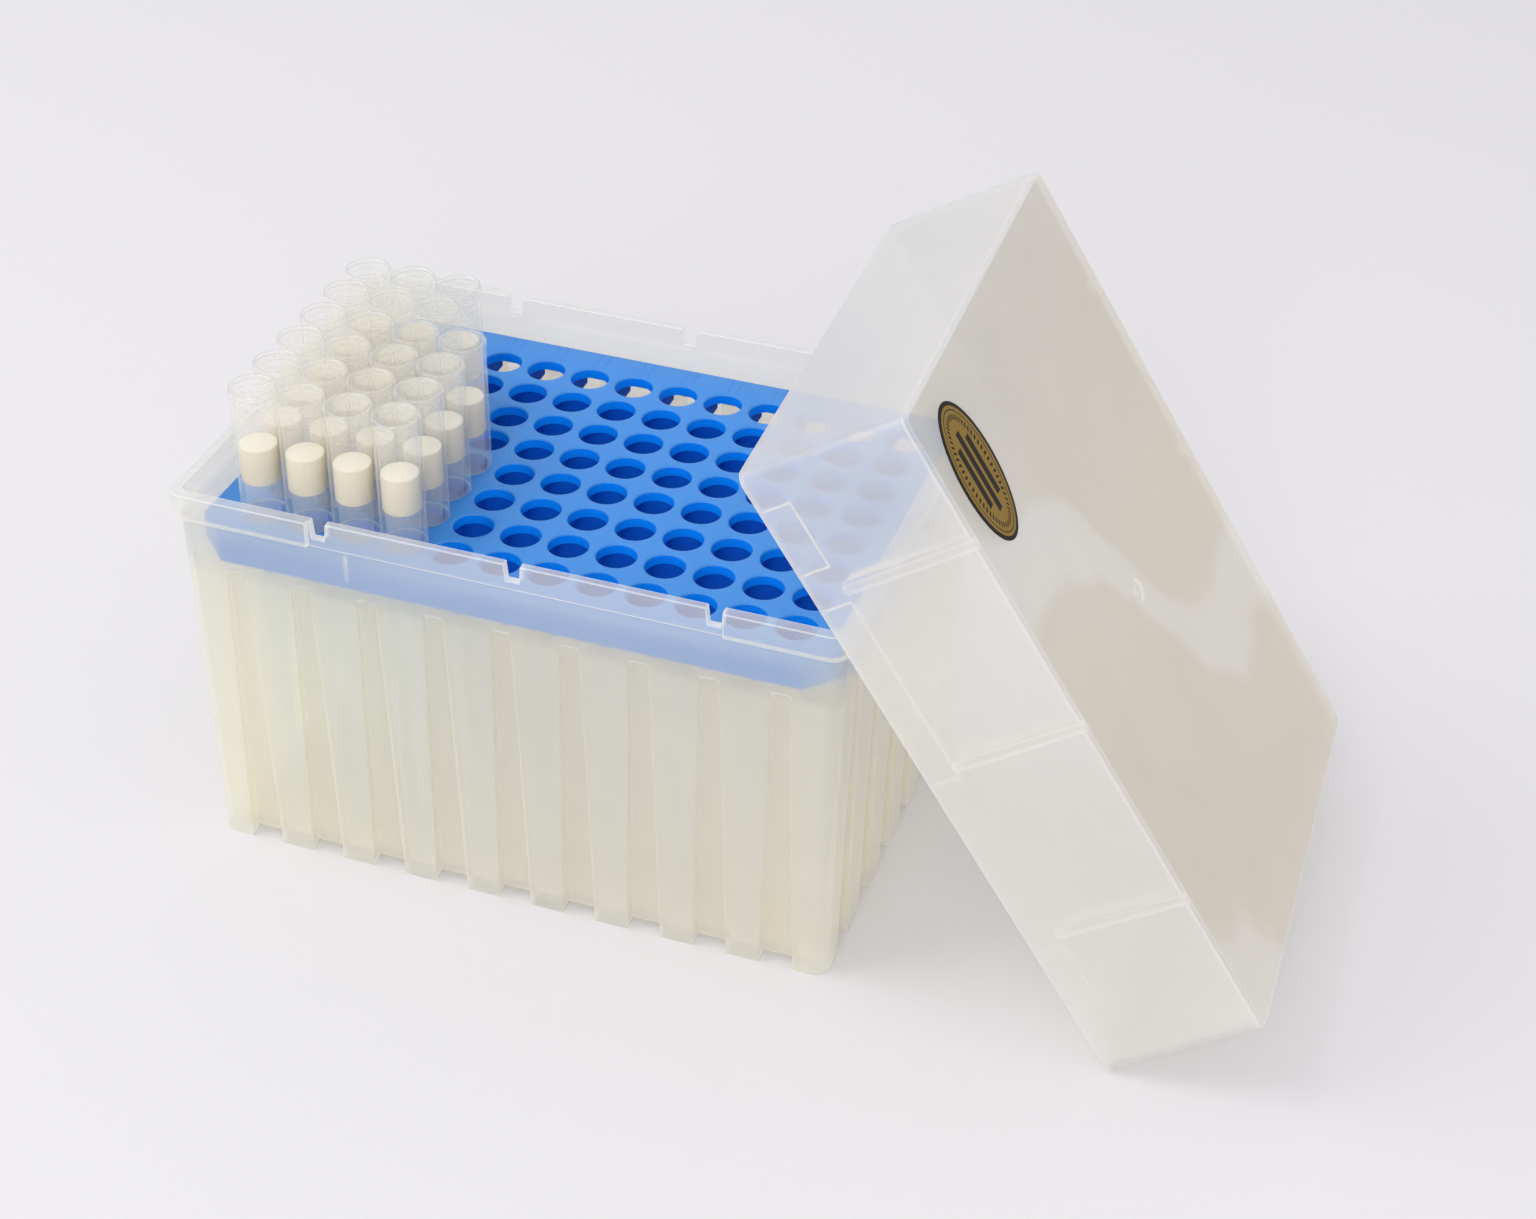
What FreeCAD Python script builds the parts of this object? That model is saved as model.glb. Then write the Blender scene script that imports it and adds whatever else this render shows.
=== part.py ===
import FreeCAD, Part
import math
import os

from FreeCAD import Placement, Rotation, Vector

# Box of filter pipette tips: a corrugated tub, a perforated deck that drops into it, tips with
# filters standing in the deck, and a deep lid that is off and leans on the tub's right rim.
# Millimetres. X runs along the box, Y across it, +Z up. The origin is the middle of the tub's
# footprint, on the surface that its feet stand on.

# Hole grid of the deck: the web is what is left of the plate between two holes. The holes have
# flats, apart from one true bore, which is counted from the left and from the front.
HOLE_COLUMNS = 12
HOLE_ROWS = 8
HOLE_PITCH = 9.0
HOLE_WEB = 1.8
HOLE_FLATS = 12
BORED_COLUMN = 7
BORED_ROW = 3

# Tub: how far its neck stands outside the hole grid, and how far its walls lean in by the feet
TUB_HEIGHT = 76.2
NECK_BEYOND_HOLES_X = 7.0
NECK_BEYOND_HOLES_Y = 6.45
TUB_LEAN_X = 1.1
TUB_LEAN_Y = 0.95
TUB_WALL = 1.0
TUB_CORNER_RADIUS = 3.0
TUB_FLOOR = 1.2
FOOT_HEIGHT = 1.5
FOOT_DEPTH = 2.8

# Corrugation of the tub's walls: grooves that widen and deepen towards the feet
LONG_SIDE_GROOVES = 9
SHORT_SIDE_GROOVES = 6
GROOVE_TOP_WIDTH = 3.6
GROOVE_TOP_DEPTH = 0.8
GROOVE_FOOT_DEPTH = 1.7
GROOVE_FLANK_SLOPE = 0.2
RIDGE_CAP = 1.3

# Band round the tub's mouth, which stands further out at the two ends than along the middle
BAND_HEIGHT = 5.0
BAND_MIDDLE_PROUD = 0.6
BAND_END_PROUD = 1.3
BAND_SHORT_SIDE_PROUD = 0.8
BAND_STEP_BEFORE_NOTCH = 1.9
BAND_STEP_AFTER_NOTCH = 1.6

# Three notches in the band that take the lid's ribs, spaced by a number of holes
NOTCH_MIDDLE = 3.0
NOTCH_SPACING_IN_HOLES = 4
NOTCH_DEPTH = 3.3
NOTCH_FOOT_CLEARANCE = 0.15
NOTCH_FLANK_SLOPE = 0.09

# Locating rib inside the tub's front wall, beside the deck's skirt
LOCATING_RIB_X = -29.0
LOCATING_RIB_WIDTH = 0.7
LOCATING_RIB_PROUD = 0.12
LOCATING_RIB_FOOT = 1.7
LOCATING_RIB_HEIGHT = 5.3

# Deck: a ribbed plate with a skirt that stands on the ridges of the tub's walls
RIM_ABOVE_DECK = 8.5
DECK_CLEARANCE = 0.2
DECK_PLATE = 2.0
DECK_SKIRT_DEPTH = 5.2
DECK_SKIRT_WALL = 1.3
DECK_CORNER_CUT = 6.0
DECK_RIB = 0.8
DECK_RIB_BELOW_SKIRT = 1.2

# Tip: a straight collar above the deck and a long taper below it, each with narrow flats. The
# gap is between the collars of two neighbours, and the tip's end hangs clear of the tub's floor.
TIP_ABOVE_DECK = 25.8
TIP_END_CLEARANCE = 4.8
TIP_GAP = 0.8
TIP_WALL = 0.63
TIP_SHAFT_CLEARANCE = 0.25
TIP_FLATS = 12
TIP_ORIFICE_RADIUS = 0.35
TIP_END_WALL = 0.35
FILTER_SEAT = 7.3
FILTER_SEAT_WIDTH = 0.35
FILTER_LENGTH = 7.2
FILTER_CLEARANCE = 0.12

# Tips that are left in the deck, front row first: how many stand at the left of each row
TIPS_PER_ROW = (4, 4, 4, 4, 3, 3, 0, 0)

# Lid: a deep tray that slides over the tub's band and hangs on its ribs, clear of the tips. Its
# mouth reaches past the ribs' ends. The pads beside the mouth are placed from the ribs.
LID_OVER_TIPS = 2.8
LID_BELOW_RIBS = 5.5
LID_SLOPE = 0.032
LID_WALL = 1.1
LID_CLEARANCE = 0.25
LID_CORNER_RADIUS = 2.2
LID_EDGE_RADIUS = 0.9
LID_RIB_WIDTH = 2.0
LID_RIB_DEPTH = 1.9
LID_PAD_HEIGHT = 5.4
LID_PAD_PROUD = 0.15
LID_END_PAD_LENGTH = 12.7
LID_UPPER_PAD_FROM_RIB = 4.3
LID_LOWER_PAD_FROM_RIB = 3.4
LID_MIDDLE_PAD_FROM_RIB = 2.5
LID_MIDDLE_PAD_PAST_RIB = 2.7
GATE_X = -2.4
GATE_Y = -3.9
GATE_RADIUS = 1.9
GATE_DEPTH = 0.4
GATE_STUB_RADIUS = 0.8
GATE_STUB_HEIGHT = 0.25

# Where the lid leans: the middle of its lower edge on the floor, and its turn about +Z
LID_FOOT_FROM_TUB = 50.0
LID_FOOT_Y = -2.2
LID_TURN = 1.45
LID_GAP = 0.05

# Oval label on the lid's top, placed from the lid's upper front corner
LABEL_LENGTH = 25.1
LABEL_WIDTH = 14.9
LABEL_THICKNESS = 0.12
LABEL_SIDES = 36
LABEL_FROM_END = 18.5
LABEL_FROM_SIDE = 13.2

# How far a cutter runs past the material that it cuts
PAST = 1.0

# Heights and sizes that follow from the values above
HOLE_RADIUS = (HOLE_PITCH - HOLE_WEB) / 2
TUB_NECK_HALF_LENGTH = HOLE_COLUMNS * HOLE_PITCH / 2 + NECK_BEYOND_HOLES_X
TUB_NECK_HALF_WIDTH = HOLE_ROWS * HOLE_PITCH / 2 + NECK_BEYOND_HOLES_Y
TUB_FOOT_HALF_LENGTH = TUB_NECK_HALF_LENGTH - TUB_LEAN_X
TUB_FOOT_HALF_WIDTH = TUB_NECK_HALF_WIDTH - TUB_LEAN_Y
NECK_HEIGHT = TUB_HEIGHT - BAND_HEIGHT
DECK_TOP = TUB_HEIGHT - RIM_ABOVE_DECK
SKIRT_FOOT = DECK_TOP - DECK_SKIRT_DEPTH
GROOVE_TOP = SKIRT_FOOT - RIDGE_CAP
BAND_HALF_LENGTH = TUB_NECK_HALF_LENGTH + BAND_SHORT_SIDE_PROUD
BAND_HALF_WIDTH = TUB_NECK_HALF_WIDTH + BAND_END_PROUD
NOTCH_SPACING = NOTCH_SPACING_IN_HOLES * HOLE_PITCH
NOTCH_POSITIONS = (NOTCH_MIDDLE - NOTCH_SPACING, NOTCH_MIDDLE, NOTCH_MIDDLE + NOTCH_SPACING)
TIP_BELOW_DECK = DECK_TOP - FOOT_HEIGHT - TUB_FLOOR - TIP_END_CLEARANCE
TIP_COLLAR_RADIUS = (HOLE_PITCH - TIP_GAP) / 2
TIP_BORE_RADIUS = TIP_COLLAR_RADIUS - TIP_WALL
LID_RIB_LENGTH = TIP_ABOVE_DECK - RIM_ABOVE_DECK + NOTCH_DEPTH + LID_OVER_TIPS + LID_WALL
LID_DEPTH = LID_RIB_LENGTH + LID_BELOW_RIBS
LID_BAND_REACH = LID_BELOW_RIBS + NOTCH_DEPTH
LID_OVER_BAND = LID_CLEARANCE + LID_WALL + LID_SLOPE * LID_BAND_REACH
LID_HALF_LENGTH = BAND_HALF_LENGTH + LID_OVER_BAND
LID_HALF_WIDTH = BAND_HALF_WIDTH + LID_OVER_BAND
LID_FOOT_X = BAND_HALF_LENGTH + LID_FOOT_FROM_TUB


def tub_half_length(height):
    """Outer half length of the drafted tub at a height above its feet."""
    return TUB_FOOT_HALF_LENGTH + (TUB_NECK_HALF_LENGTH - TUB_FOOT_HALF_LENGTH) * height / NECK_HEIGHT


def tub_half_width(height):
    """Outer half width of the drafted tub at a height above its feet."""
    return TUB_FOOT_HALF_WIDTH + (TUB_NECK_HALF_WIDTH - TUB_FOOT_HALF_WIDTH) * height / NECK_HEIGHT


def face_of(points):
    return Part.Face(Part.makePolygon(points + [points[0]]))


def prismoid(lower, upper):
    """Solid between two outlines of equal count, anticlockwise from above, with flat sides."""
    faces = [face_of(lower[::-1]), face_of(upper)]
    for index, corner in enumerate(lower):
        following = (index + 1) % len(lower)
        faces.append(face_of([corner, lower[following], upper[following], upper[index]]))
    return Part.Solid(Part.Shell(faces))


def rectangle(half_x, half_y, z):
    return [
        Vector(-half_x, -half_y, z),
        Vector(half_x, -half_y, z),
        Vector(half_x, half_y, z),
        Vector(-half_x, half_y, z),
    ]


def ring(radius, flats, z):
    """Corners of a level polygon, anticlockwise from above."""
    angles = [2 * math.pi * index / flats for index in range(flats)]
    return [Vector(radius * math.cos(a), radius * math.sin(a), z) for a in angles]


def drafted_block(lower, upper, z_lower, z_upper, radius):
    """Block with sloping sides and rounded upright edges; sizes are (half_x, half_y)."""
    block = prismoid(rectangle(*lower, z_lower), rectangle(*upper, z_upper))
    upright = [edge for edge in block.Edges if edge.BoundBox.ZLength > (z_upper - z_lower) / 2]
    return block.makeFillet(radius, upright)


def box_between(x0, x1, y0, y1, z0, z1):
    return Part.makeBox(x1 - x0, y1 - y0, z1 - z0, Vector(x0, y0, z0))


# ---------------------------------------------------------------- tub

def groove_outline(half, centre, half_width, depth, grown, z):
    """Section of a groove in the wall at -Y, at one height, grown all round by a thickness."""
    outer = -half - PAST
    inner = -half + depth + grown
    wide = half_width + grown + GROOVE_FLANK_SLOPE * PAST
    narrow = half_width + grown - GROOVE_FLANK_SLOPE * (depth + grown)
    return [
        Vector(centre - wide, outer, z),
        Vector(centre + wide, outer, z),
        Vector(centre + narrow, inner, z),
        Vector(centre - narrow, inner, z),
    ]


def groove(half_at, centre, foot_width, top, grown):
    """Tapered prism of one groove, from below the feet up to a height."""
    outlines = []
    for z in (-PAST, top):
        share = z / GROOVE_TOP
        half_width = (foot_width + (GROOVE_TOP_WIDTH - foot_width) * share) / 2
        depth = GROOVE_FOOT_DEPTH + (GROOVE_TOP_DEPTH - GROOVE_FOOT_DEPTH) * share
        outlines.append(groove_outline(half_at(z), centre, half_width, depth, grown, z))
    return prismoid(outlines[0], outlines[1])


def foot_gap(half_side, centre, foot_width):
    """Strip between two feet, up to the underside of the floor, in the wall at -Y."""
    return box_between(
        centre - foot_width / 2,
        centre + foot_width / 2,
        -half_side - PAST,
        -half_side + FOOT_DEPTH + PAST,
        -PAST,
        FOOT_HEIGHT,
    )


def along_walls(count, half_along, turns, make):
    """Cutters for a pair of walls; grooves and feet are equally wide along the floor."""
    width = 2 * half_along / (2 * count + 1)
    cutters = []
    for index in range(count):
        cutter = make((index - (count - 1) / 2) * 2 * width, width)
        for turn in turns:
            copy = cutter.copy()
            copy.rotate(Vector(0, 0, 0), Vector(0, 0, 1), turn)
            cutters.append(copy)
    return cutters


def on_long_walls(make):
    return along_walls(LONG_SIDE_GROOVES, TUB_FOOT_HALF_LENGTH, (0, 180), make)


def on_short_walls(make):
    return along_walls(SHORT_SIDE_GROOVES, TUB_FOOT_HALF_WIDTH, (90, 270), make)


def grooves(top, grown):
    long_walls = on_long_walls(lambda x, width: groove(tub_half_width, x, width, top, grown))
    short_walls = on_short_walls(lambda y, width: groove(tub_half_length, y, width, top, grown))
    return long_walls + short_walls


def foot_gaps():
    long_walls = on_long_walls(lambda x, width: foot_gap(TUB_FOOT_HALF_WIDTH, x, width))
    short_walls = on_short_walls(lambda y, width: foot_gap(TUB_FOOT_HALF_LENGTH, y, width))
    return long_walls + short_walls


def band():
    """Band round the mouth: a thin ring along the middle and a thick stretch at each end."""
    z0, z1 = NECK_HEIGHT, TUB_HEIGHT
    thin = (BAND_HALF_LENGTH, TUB_NECK_HALF_WIDTH + BAND_MIDDLE_PROUD)
    thick = (BAND_HALF_LENGTH, BAND_HALF_WIDTH)
    left = NOTCH_POSITIONS[0] - BAND_STEP_BEFORE_NOTCH
    right = NOTCH_POSITIONS[-1] + BAND_STEP_AFTER_NOTCH
    middle = box_between(left, right, -2 * BAND_HALF_WIDTH, 2 * BAND_HALF_WIDTH, z0, z1)
    ends = drafted_block(thick, thick, z0, z1, TUB_CORNER_RADIUS).cut(middle)
    return drafted_block(thin, thin, z0, z1, TUB_CORNER_RADIUS).common(middle).fuse(ends)


def cavity():
    """Room inside the tub, with the grooves' ridges standing into it."""
    floor, top = FOOT_HEIGHT + TUB_FLOOR, TUB_HEIGHT + PAST
    lower = (tub_half_length(floor) - TUB_WALL, tub_half_width(floor) - TUB_WALL)
    upper = (tub_half_length(top) - TUB_WALL, tub_half_width(top) - TUB_WALL)
    room = drafted_block(lower, upper, floor, top, TUB_CORNER_RADIUS - TUB_WALL)
    return room.cut(grooves(SKIRT_FOOT, TUB_WALL))


def foot_pocket():
    """Hollow under the tub's floor, inside the ring of feet."""
    x = TUB_FOOT_HALF_LENGTH - FOOT_DEPTH
    y = TUB_FOOT_HALF_WIDTH - FOOT_DEPTH
    return box_between(-x, x, -y, y, -PAST, FOOT_HEIGHT)


def notch(x):
    """One notch, cut through both long walls at once."""
    foot, top = TUB_HEIGHT - NOTCH_DEPTH, TUB_HEIGHT + PAST
    narrow = LID_RIB_WIDTH / 2 + NOTCH_FOOT_CLEARANCE
    wide = narrow + NOTCH_FLANK_SLOPE * (top - foot)
    y = 2 * BAND_HALF_WIDTH
    face = face_of([
        Vector(x - narrow, -y, foot),
        Vector(x + narrow, -y, foot),
        Vector(x + wide, -y, top),
        Vector(x - wide, -y, top),
    ])
    return face.extrude(Vector(0, 2 * y, 0))


def locating_rib():
    z0 = SKIRT_FOOT + LOCATING_RIB_FOOT
    z1 = z0 + LOCATING_RIB_HEIGHT
    inside = tub_half_width(z0) - TUB_WALL
    half = LOCATING_RIB_WIDTH / 2
    x = LOCATING_RIB_X
    return box_between(x - half, x + half, -inside - TUB_WALL / 2, -inside + LOCATING_RIB_PROUD, z0, z1)


def tub():
    foot = (TUB_FOOT_HALF_LENGTH, TUB_FOOT_HALF_WIDTH)
    neck = (TUB_NECK_HALF_LENGTH, TUB_NECK_HALF_WIDTH)
    solid = drafted_block(foot, neck, 0, NECK_HEIGHT, TUB_CORNER_RADIUS).fuse(band())
    solid = solid.cut(cavity())
    solid = solid.cut(grooves(GROOVE_TOP, 0.0))
    solid = solid.cut(foot_gaps() + [foot_pocket()])
    solid = solid.cut([notch(x) for x in NOTCH_POSITIONS])
    return solid.fuse(locating_rib()).removeSplitter()


# ---------------------------------------------------------------- deck

def deck_outline(inset, z):
    """Rectangle with cut corners that drops into the tub."""
    half_x = tub_half_length(SKIRT_FOOT) - TUB_WALL - DECK_CLEARANCE - inset
    half_y = tub_half_width(SKIRT_FOOT) - TUB_WALL - DECK_CLEARANCE - inset
    cut = DECK_CORNER_CUT - inset * (2 - math.sqrt(2))
    points = []
    for corner in rectangle(1, 1, z):
        long_first = corner.x * corner.y > 0
        on_long = Vector(corner.x * (half_x - cut), corner.y * half_y, z)
        on_short = Vector(corner.x * half_x, corner.y * (half_y - cut), z)
        points += [on_short, on_long] if long_first else [on_long, on_short]
    return face_of(points)


def hole_position(column, row):
    x = (column - (HOLE_COLUMNS - 1) / 2) * HOLE_PITCH
    y = (row - (HOLE_ROWS - 1) / 2) * HOLE_PITCH
    return x, y


def deck_ribs():
    """Grid of ribs under the plate, one between every two rows and columns of holes."""
    x_end, y_end = HOLE_COLUMNS * HOLE_PITCH, HOLE_ROWS * HOLE_PITCH
    z0, z1 = SKIRT_FOOT - DECK_RIB_BELOW_SKIRT, DECK_TOP - DECK_PLATE
    half = DECK_RIB / 2
    ribs = []
    for index in range(1, HOLE_COLUMNS):
        x = (index - HOLE_COLUMNS / 2) * HOLE_PITCH
        ribs.append(box_between(x - half, x + half, -y_end, y_end, z0, z1))
    for index in range(1, HOLE_ROWS):
        y = (index - HOLE_ROWS / 2) * HOLE_PITCH
        ribs.append(box_between(-x_end, x_end, y - half, y + half, z0, z1))
    inside_skirt = deck_outline(DECK_SKIRT_WALL, z0).extrude(Vector(0, 0, z1 - z0))
    return ribs[0].fuse(ribs[1:]).common(inside_skirt)


def hole(column, row):
    """Cutter of one hole, through the plate only; its flats touch the hole's circle."""
    foot, top = DECK_TOP - DECK_PLATE - PAST, DECK_TOP + PAST
    if (column + 1, row + 1) == (BORED_COLUMN, BORED_ROW):
        cutter = Part.makeCylinder(HOLE_RADIUS, top - foot, Vector(0, 0, foot))
    else:
        corner_radius = HOLE_RADIUS / math.cos(math.pi / HOLE_FLATS)
        cutter = prismoid(ring(corner_radius, HOLE_FLATS, foot), ring(corner_radius, HOLE_FLATS, top))
    cutter.translate(Vector(*hole_position(column, row), 0))
    return cutter


def deck():
    body = deck_outline(0.0, SKIRT_FOOT).extrude(Vector(0, 0, DECK_SKIRT_DEPTH))
    room = deck_outline(DECK_SKIRT_WALL, SKIRT_FOOT).extrude(Vector(0, 0, DECK_SKIRT_DEPTH - DECK_PLATE))
    holes = [hole(column, row) for column in range(HOLE_COLUMNS) for row in range(HOLE_ROWS)]
    return body.cut(room).fuse(deck_ribs()).cut(holes).removeSplitter()


# ---------------------------------------------------------------- tips

def taper(lower_radius, z_lower, upper_radius, z_upper):
    return prismoid(ring(lower_radius, TIP_FLATS, z_lower), ring(upper_radius, TIP_FLATS, z_upper))


def tip():
    """Filter tip with its shoulder at z = 0, hollow from its open collar to its fine end."""
    shaft_radius = HOLE_RADIUS - TIP_SHAFT_CLEARANCE
    seat_radius = TIP_BORE_RADIUS - FILTER_SEAT_WIDTH
    collar = taper(TIP_COLLAR_RADIUS, 0, TIP_COLLAR_RADIUS, TIP_ABOVE_DECK)
    shaft = taper(TIP_ORIFICE_RADIUS + TIP_END_WALL, -TIP_BELOW_DECK, shaft_radius, 0)
    bore = taper(TIP_BORE_RADIUS, FILTER_SEAT, TIP_BORE_RADIUS, TIP_ABOVE_DECK)
    channel = taper(TIP_ORIFICE_RADIUS, -TIP_BELOW_DECK, seat_radius, FILTER_SEAT)
    return collar.fuse(shaft).cut([bore, channel]).removeSplitter()


def tip_filter():
    radius = TIP_BORE_RADIUS - FILTER_CLEARANCE
    return taper(radius, FILTER_SEAT, radius, FILTER_SEAT + FILTER_LENGTH)


def tip_positions():
    places = []
    for row, count in enumerate(TIPS_PER_ROW):
        for column in range(count):
            places.append(hole_position(column, row))
    return places


# ---------------------------------------------------------------- lid

def lid_rib(x, side):
    """Rib inside a long wall, with a rounded end, that drops into a notch of the tub."""
    half = LID_RIB_WIDTH / 2
    wall = LID_HALF_WIDTH - LID_SLOPE * LID_DEPTH - LID_WALL
    y0, y1 = sorted((side * (wall - LID_RIB_DEPTH), side * LID_HALF_WIDTH))
    end = LID_DEPTH - LID_RIB_LENGTH + half
    bar = box_between(x - half, x + half, y0, y1, end, LID_DEPTH - LID_WALL / 2)
    return bar.fuse(Part.makeCylinder(half, y1 - y0, Vector(x, y0, end), Vector(0, 1, 0)))


def lid_pad_spans():
    """Where the low pads lie along a long wall: above, between and below the lid's ribs."""
    upper, middle, lower = sorted(-x for x in NOTCH_POSITIONS)
    upper_end = upper - LID_UPPER_PAD_FROM_RIB
    lower_start = lower + LID_LOWER_PAD_FROM_RIB
    return (
        (upper_end - LID_END_PAD_LENGTH, upper_end),
        (upper + LID_MIDDLE_PAD_FROM_RIB, middle + LID_MIDDLE_PAD_PAST_RIB),
        (lower_start, lower_start + LID_END_PAD_LENGTH),
    )


def lid_pad(x0, x1, side):
    """Low pad inside a long wall, beside the mouth."""
    inner = LID_HALF_WIDTH - LID_WALL - LID_PAD_PROUD
    y0, y1 = sorted((side * inner, side * LID_HALF_WIDTH))
    return box_between(x0, x1, y0, y1, 0, LID_PAD_HEIGHT)


def lid_sizes(inset, height):
    """Half length and half width of the lid at a height above its mouth."""
    inward = inset + LID_SLOPE * height
    return LID_HALF_LENGTH - inward, LID_HALF_WIDTH - inward


def lid():
    """Lid with its mouth at z = 0, centred."""
    outer = drafted_block(lid_sizes(0, 0), lid_sizes(0, LID_DEPTH), 0, LID_DEPTH, LID_CORNER_RADIUS)
    top_edges = [edge for edge in outer.Edges if edge.BoundBox.ZMin > LID_DEPTH - LID_WALL / 2]
    rounded = outer.makeFillet(LID_EDGE_RADIUS, top_edges)
    ceiling = LID_DEPTH - LID_WALL
    room = drafted_block(
        lid_sizes(LID_WALL, -PAST),
        lid_sizes(LID_WALL, ceiling),
        -PAST,
        ceiling,
        LID_CORNER_RADIUS - LID_WALL,
    )
    fittings = []
    for side in (-1, 1):
        fittings += [lid_rib(-x, side) for x in NOTCH_POSITIONS]
        fittings += [lid_pad(x0, x1, side) for x0, x1 in lid_pad_spans()]
    shell = rounded.cut(room).fuse([fitting.common(rounded) for fitting in fittings])
    gate = Vector(GATE_X, GATE_Y, LID_DEPTH - GATE_DEPTH)
    recess = Part.makeCylinder(GATE_RADIUS, GATE_DEPTH + PAST, gate)
    stub = Part.makeCylinder(GATE_STUB_RADIUS, GATE_STUB_HEIGHT, gate)
    return shell.cut(recess).fuse(stub).removeSplitter()


def label():
    """Oval label on the lid's top, in the lid's own frame."""
    x = LABEL_FROM_END - LID_HALF_LENGTH
    y = LABEL_FROM_SIDE - LID_HALF_WIDTH
    oval = [
        Vector(x + corner.x * LABEL_LENGTH / 2, y + corner.y * LABEL_WIDTH / 2, LID_DEPTH)
        for corner in ring(1.0, LABEL_SIDES, 0)
    ]
    return face_of(oval).extrude(Vector(0, 0, LABEL_THICKNESS))


def lid_placement():
    """Lean the lid: its mouth's plane passes the outer top edge of the tub's right rim."""
    turn = math.radians(LID_TURN)
    rim_x = BAND_HALF_LENGTH + LID_GAP
    rim_y = BAND_HALF_WIDTH - TUB_CORNER_RADIUS
    rim_run = rim_x * math.cos(turn) + rim_y * math.sin(turn)
    foot_run = LID_FOOT_X * math.cos(turn) + LID_FOOT_Y * math.sin(turn)
    lean = math.degrees(math.atan2(TUB_HEIGHT, foot_run - rim_run))
    turned = Rotation(Vector(0, 0, 1), LID_TURN)
    leaned = Rotation(Vector(0, 1, 0), lean)
    at_foot = Placement(Vector(LID_FOOT_X, LID_FOOT_Y, 0), turned.multiply(leaned))
    return at_foot.multiply(Placement(Vector(-LID_HALF_LENGTH, 0, 0), Rotation()))


# ---------------------------------------------------------------- all pieces

def build():
    pieces = {"tub": tub(), "rack_deck": deck(), "lid": lid(), "lid_label": label()}
    leaning = lid_placement()
    pieces["lid"].Placement = leaning
    pieces["lid_label"].Placement = leaning
    one_tip, one_filter = tip(), tip_filter()
    for number, (x, y) in enumerate(tip_positions(), start=1):
        for name, shape in (("tip", one_tip), ("filter", one_filter)):
            copy = shape.copy()
            copy.translate(Vector(x, y, DECK_TOP))
            pieces[f"{name}_{number:02d}"] = copy
    return pieces


os.makedirs("parts", exist_ok=True)
for node, shape in build().items():
    shape.exportStep(os.path.join("parts", node + ".step"))
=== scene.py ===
import math

import bmesh
import bpy
from mathutils import Euler, Matrix, Vector


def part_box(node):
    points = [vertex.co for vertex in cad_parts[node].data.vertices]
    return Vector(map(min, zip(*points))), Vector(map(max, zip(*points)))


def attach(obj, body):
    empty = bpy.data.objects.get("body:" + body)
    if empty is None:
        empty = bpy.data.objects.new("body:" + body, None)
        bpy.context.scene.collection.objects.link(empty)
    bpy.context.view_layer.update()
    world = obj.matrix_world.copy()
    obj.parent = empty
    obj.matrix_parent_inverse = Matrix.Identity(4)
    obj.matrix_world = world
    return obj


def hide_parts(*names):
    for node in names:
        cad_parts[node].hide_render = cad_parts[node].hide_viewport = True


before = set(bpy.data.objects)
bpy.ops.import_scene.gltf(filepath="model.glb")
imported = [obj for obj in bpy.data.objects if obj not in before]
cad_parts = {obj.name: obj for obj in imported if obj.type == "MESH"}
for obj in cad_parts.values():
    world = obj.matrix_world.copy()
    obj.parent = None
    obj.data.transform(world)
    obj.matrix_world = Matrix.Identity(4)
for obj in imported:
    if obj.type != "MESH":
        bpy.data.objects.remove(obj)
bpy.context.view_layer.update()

# Box of filter pipette tips, open, with its lid leaning on its rim. Each node of the CAD gets a
# finer body in its place, and its plastic. Lengths are in millimetres, and MM turns them into
# metres, which all of them need but the camera's lens and sensor.

MM = 0.001

# ---------------------------------------------------------------- sizes

# Camera: where it stands, how it is turned (degrees), its lens and sensor, and its clipping range
CAMERA_PLACE = (161.18, -382.15, 332.81)
CAMERA_AZIMUTH = 18.43
CAMERA_ELEVATION = 35.42
CAMERA_ROLL = 1.22
CAMERA_LENS = 63.61
CAMERA_SENSOR = 36.0
CAMERA_NEAR = 10.0
CAMERA_FAR = 20000.0

# Studio: half the floor's side, and each softbox as name, place, aim, side and watts
FLOOR_HALF = 12000.0
FLOOR_SHADE = (0.73, 0.72, 0.735, 1.0)
SKY_SHADE = (0.985, 0.975, 1.0, 1.0)
SKY_STRENGTH = 0.82
SOFTBOXES = (
    ("key", (-900.0, -350.0, 1250.0), (20.0, 0.0, 50.0), 900.0, 7.0),
    ("fill", (300.0, -1300.0, 900.0), (50.0, 0.0, 50.0), 800.0, 8.0),
)

# Deck and hole grid
HOLE_COLUMNS, HOLE_ROWS, HOLE_PITCH = 12, 8, 9.0
HOLE_RADIUS = 3.6
HOLE_ROUNDING = 0.35
HOLE_SEGMENTS = 48
HOLE_RIM_DEGREES = (0, 30, 60, 90)
DECK_PLATE = 2.0
DECK_CORNER_CUT = 6.0
DECK_EDGE = 0.3
DECK_SKIRT_DEPTH = 5.2
DECK_SKIRT_WALL = 1.3
DECK_RIB = 0.8
DECK_RIB_SUNK = 0.2
DECK_RIB_STEP = 0.02

# Mould lines on the deck, in pairs behind the last row of holes
DECK_LINE_OFF = 0.9
DECK_LINE_HALF = 0.06
DECK_LINE_ENDS = 0.4
DECK_LINE_SUNK = 0.2
DECK_LINE_PROUD = 0.04

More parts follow.
